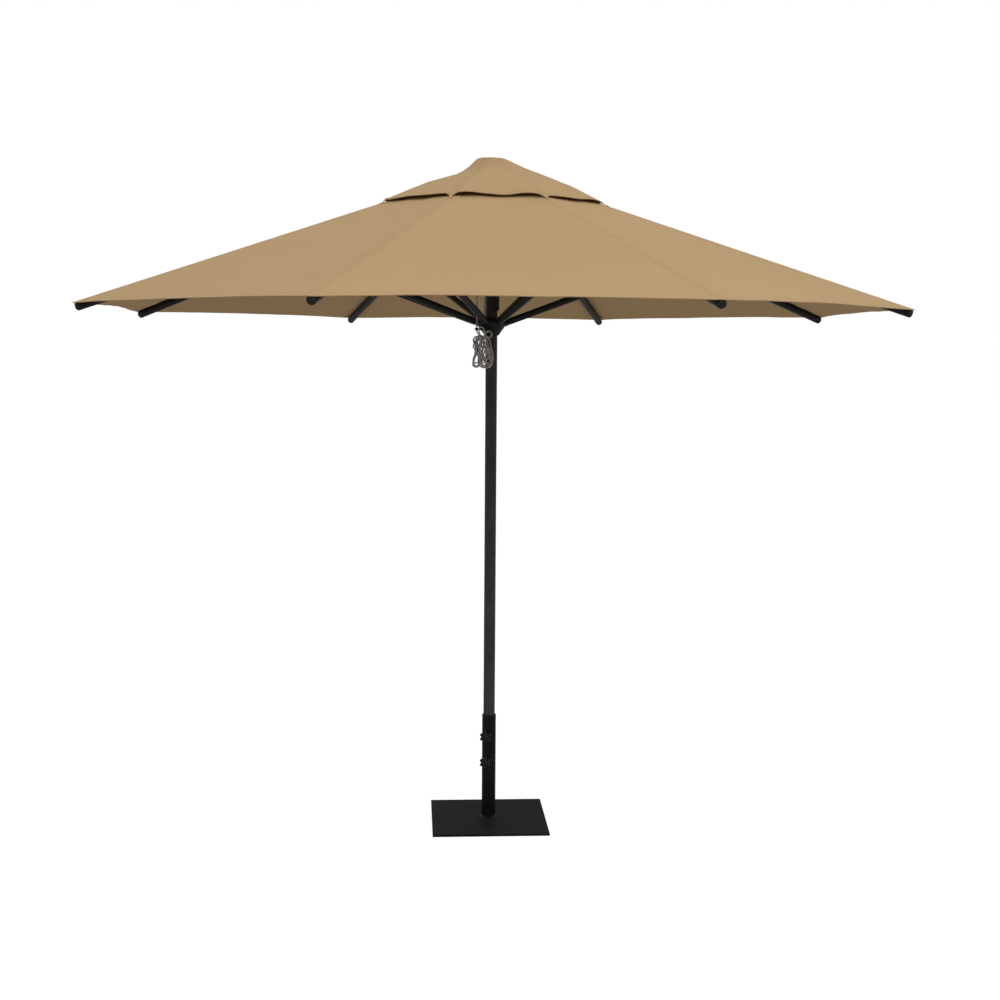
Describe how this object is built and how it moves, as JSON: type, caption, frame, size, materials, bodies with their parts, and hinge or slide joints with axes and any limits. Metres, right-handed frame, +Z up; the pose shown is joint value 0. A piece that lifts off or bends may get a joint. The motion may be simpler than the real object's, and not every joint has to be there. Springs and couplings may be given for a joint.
{
  "type": "patio umbrella with base",
  "caption": "Centre-pole patio umbrella with a vented octagonal canopy, folding ribs, sliding runner, hoist rope and a square plate base.",
  "frame": {"origin": "centre of the base plate's underside, on the floor", "axes": "+Z up along the pole; X and Y along the sides of the base plate, and square to four of the canopy's eight sides; -Y faces the front"},
  "size_m": [3.2336, 3.2336, 2.868],
  "materials": {
    "plate_steel": "satin black powder coat",
    "frame_metal": "satin black powder coat over aluminium",
    "pole_metal": "satin charcoal powder coat over aluminium",
    "black_plastic": "moulded, fine grain",
    "canopy_fabric": "tan woven acrylic",
    "rope": "grey braided cord",
    "steel": "zinc plated"
  },
  "bodies": {
    "base": {"base_plate": "plate_steel", "base_socket": "plate_steel", "socket_nuts": "plate_steel"},
    "knob_upper": {"knob_upper": "black_plastic"},
    "knob_lower": {"knob_lower": "black_plastic"},
    "mast": {"pole": "pole_metal", "pole_foot_plug": "black_plastic", "top_hub": "black_plastic", "hub_pins": "steel", "crown_cap": "black_plastic", "pulley_yoke": "frame_metal", "runner_stop": "black_plastic", "rope_fall": "rope"},
    "sheave": {"sheave": "black_plastic"},
    "rib_1": {"rib_1": "frame_metal", "rib_brackets_1": "frame_metal", "rib_cap_1": "black_plastic", "canopy_sector_1": "canopy_fabric"},
    "rib_2": {"rib_2": "frame_metal", "rib_brackets_2": "frame_metal", "rib_cap_2": "black_plastic", "canopy_sector_2": "canopy_fabric"},
    "rib_3": {"rib_3": "frame_metal", "rib_brackets_3": "frame_metal", "rib_cap_3": "black_plastic", "canopy_sector_3": "canopy_fabric"},
    "rib_4": {"rib_4": "frame_metal", "rib_brackets_4": "frame_metal", "rib_cap_4": "black_plastic", "canopy_sector_4": "canopy_fabric"},
    "rib_5": {"rib_5": "frame_metal", "rib_brackets_5": "frame_metal", "rib_cap_5": "black_plastic", "canopy_sector_5": "canopy_fabric"},
    "rib_6": {"rib_6": "frame_metal", "rib_brackets_6": "frame_metal", "rib_cap_6": "black_plastic", "canopy_sector_6": "canopy_fabric"},
    "rib_7": {"rib_7": "frame_metal", "rib_brackets_7": "frame_metal", "rib_cap_7": "black_plastic", "canopy_sector_7": "canopy_fabric"},
    "rib_8": {"rib_8": "frame_metal", "rib_brackets_8": "frame_metal", "rib_cap_8": "black_plastic", "canopy_sector_8": "canopy_fabric"},
    "strut_1": {"strut_1": "frame_metal"},
    "strut_2": {"strut_2": "frame_metal"},
    "strut_3": {"strut_3": "frame_metal"},
    "strut_4": {"strut_4": "frame_metal"},
    "strut_5": {"strut_5": "frame_metal"},
    "strut_6": {"strut_6": "frame_metal"},
    "strut_7": {"strut_7": "frame_metal"},
    "strut_8": {"strut_8": "frame_metal"},
    "runner": {"runner": "black_plastic", "runner_bush": "black_plastic", "runner_pins": "steel", "rope_tail": "rope", "rope_hank": "rope"},
    "stop_screw": {"stop_screw": "black_plastic"}
  },
  "joints": [
    {"name": "knob_upper_turn", "type": "hinge", "parent": "base", "child": "knob_upper", "pos_m": [-0.0171, -0.04698, 0.38], "axis": [-0.342, -0.9397, 0], "continuous": true},
    {"name": "knob_lower_turn", "type": "hinge", "parent": "base", "child": "knob_lower", "pos_m": [-0.0171, -0.04698, 0.266], "axis": [-0.342, -0.9397, 0], "continuous": true},
    {"name": "mast_lift", "type": "slide", "parent": "base", "child": "mast", "axis": [0, 0, 1], "range_m": [0, 0.47]},
    {"name": "sheave_spin", "type": "hinge", "parent": "mast", "child": "sheave", "pos_m": [-0.04827, -0.04501, 2.7], "axis": [0.682, -0.7314, 0], "continuous": true},
    {"name": "rib_1_fold", "type": "hinge", "parent": "mast", "child": "rib_1", "pos_m": [0.05543, 0.02296, 2.752], "axis": [-0.3827, 0.9239, 0], "range_deg": [0, 66], "deforming": ["canopy_sector_1", "rope_fall"]},
    {"name": "rib_2_fold", "type": "hinge", "parent": "mast", "child": "rib_2", "pos_m": [0.02296, 0.05543, 2.752], "axis": [-0.9239, 0.3827, 0], "range_deg": [0, 66], "deforming": ["canopy_sector_2"]},
    {"name": "rib_3_fold", "type": "hinge", "parent": "mast", "child": "rib_3", "pos_m": [-0.02296, 0.05543, 2.752], "axis": [-0.9239, -0.3827, 0], "range_deg": [0, 66], "deforming": ["canopy_sector_3"]},
    {"name": "rib_4_fold", "type": "hinge", "parent": "mast", "child": "rib_4", "pos_m": [-0.05543, 0.02296, 2.752], "axis": [-0.3827, -0.9239, 0], "range_deg": [0, 66], "deforming": ["canopy_sector_4"]},
    {"name": "rib_5_fold", "type": "hinge", "parent": "mast", "child": "rib_5", "pos_m": [-0.05543, -0.02296, 2.752], "axis": [0.3827, -0.9239, 0], "range_deg": [0, 66], "deforming": ["canopy_sector_5"]},
    {"name": "rib_6_fold", "type": "hinge", "parent": "mast", "child": "rib_6", "pos_m": [-0.02296, -0.05543, 2.752], "axis": [0.9239, -0.3827, 0], "range_deg": [0, 66], "deforming": ["canopy_sector_6"]},
    {"name": "rib_7_fold", "type": "hinge", "parent": "mast", "child": "rib_7", "pos_m": [0.02296, -0.05543, 2.752], "axis": [0.9239, 0.3827, 0], "range_deg": [0, 66], "deforming": ["canopy_sector_7"]},
    {"name": "rib_8_fold", "type": "hinge", "parent": "mast", "child": "rib_8", "pos_m": [0.05543, -0.02296, 2.752], "axis": [0.3827, 0.9239, 0], "range_deg": [0, 66], "deforming": ["canopy_sector_8"]},
    {"name": "strut_1_turn", "type": "hinge", "parent": "rib_1", "child": "strut_1", "pos_m": [0.82852, 0.34318, 2.46387], "axis": [-0.3827, 0.9239, 0], "range_deg": [-132, 0]},
    {"name": "strut_2_turn", "type": "hinge", "parent": "rib_2", "child": "strut_2", "pos_m": [0.34318, 0.82852, 2.46387], "axis": [-0.9239, 0.3827, 0], "range_deg": [-132, 0]},
    {"name": "strut_3_turn", "type": "hinge", "parent": "rib_3", "child": "strut_3", "pos_m": [-0.34318, 0.82852, 2.46387], "axis": [-0.9239, -0.3827, 0], "range_deg": [-132, 0]},
    {"name": "strut_4_turn", "type": "hinge", "parent": "rib_4", "child": "strut_4", "pos_m": [-0.82852, 0.34318, 2.46387], "axis": [-0.3827, -0.9239, 0], "range_deg": [-132, 0]},
    {"name": "strut_5_turn", "type": "hinge", "parent": "rib_5", "child": "strut_5", "pos_m": [-0.82852, -0.34318, 2.46387], "axis": [0.3827, -0.9239, 0], "range_deg": [-132, 0]},
    {"name": "strut_6_turn", "type": "hinge", "parent": "rib_6", "child": "strut_6", "pos_m": [-0.34318, -0.82852, 2.46387], "axis": [0.9239, -0.3827, 0], "range_deg": [-132, 0]},
    {"name": "strut_7_turn", "type": "hinge", "parent": "rib_7", "child": "strut_7", "pos_m": [0.34318, -0.82852, 2.46387], "axis": [0.9239, 0.3827, 0], "range_deg": [-132, 0]},
    {"name": "strut_8_turn", "type": "hinge", "parent": "rib_8", "child": "strut_8", "pos_m": [0.82852, -0.34318, 2.46387], "axis": [0.3827, 0.9239, 0], "range_deg": [-132, 0]},
    {"name": "runner_turn", "type": "hinge", "parent": "strut_1", "child": "runner", "pos_m": [0.05543, 0.02296, 2.17574], "axis": [-0.3827, 0.9239, 0], "range_deg": [0, 66]},
    {"name": "stop_screw_turn", "type": "hinge", "parent": "mast", "child": "stop_screw", "pos_m": [0.00781, -0.04432, 2.23374], "axis": [0.1736, -0.9848, 0], "continuous": true}
  ],
  "couplings": [
    {"joint": "rib_2_fold", "follows": "rib_1_fold", "ratio": 1},
    {"joint": "rib_3_fold", "follows": "rib_1_fold", "ratio": 1},
    {"joint": "rib_4_fold", "follows": "rib_1_fold", "ratio": 1},
    {"joint": "rib_5_fold", "follows": "rib_1_fold", "ratio": 1},
    {"joint": "rib_6_fold", "follows": "rib_1_fold", "ratio": 1},
    {"joint": "rib_7_fold", "follows": "rib_1_fold", "ratio": 1},
    {"joint": "rib_8_fold", "follows": "rib_1_fold", "ratio": 1},
    {"joint": "strut_1_turn", "follows": "rib_1_fold", "ratio": -2},
    {"joint": "strut_2_turn", "follows": "rib_1_fold", "ratio": -2},
    {"joint": "strut_3_turn", "follows": "rib_1_fold", "ratio": -2},
    {"joint": "strut_4_turn", "follows": "rib_1_fold", "ratio": -2},
    {"joint": "strut_5_turn", "follows": "rib_1_fold", "ratio": -2},
    {"joint": "strut_6_turn", "follows": "rib_1_fold", "ratio": -2},
    {"joint": "strut_7_turn", "follows": "rib_1_fold", "ratio": -2},
    {"joint": "strut_8_turn", "follows": "rib_1_fold", "ratio": -2},
    {"joint": "runner_turn", "follows": "rib_1_fold", "ratio": 1}
  ]
}
